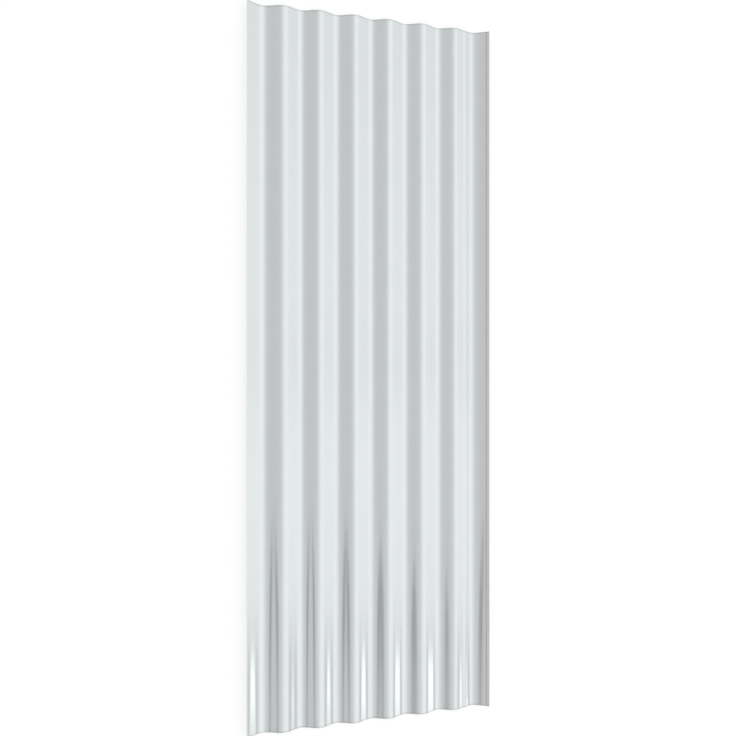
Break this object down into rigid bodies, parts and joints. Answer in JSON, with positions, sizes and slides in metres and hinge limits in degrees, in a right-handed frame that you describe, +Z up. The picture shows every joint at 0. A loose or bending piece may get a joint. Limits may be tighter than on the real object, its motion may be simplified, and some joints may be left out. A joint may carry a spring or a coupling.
{
  "type": "corrugated metal sheet",
  "caption": "Thin galvanised steel sheet rolled into even rounded waves along its length, with square-cut ends; laps with its neighbours to clad a small roof, shed or fence.",
  "frame": {"origin": "centre of the sheet's outline, on the floor under its troughs", "axes": "+X across the waves towards the stepped flank, +Y along the waves, +Z up out of the front face"},
  "size_m": [0.36, 1, 0.0117],
  "materials": {
    "galvanised_steel": "bright galvanised, glossy and clean"
  },
  "bodies": {
    "root": {"corrugated_sheet": "galvanised_steel"}
  },
  "joints": []
}
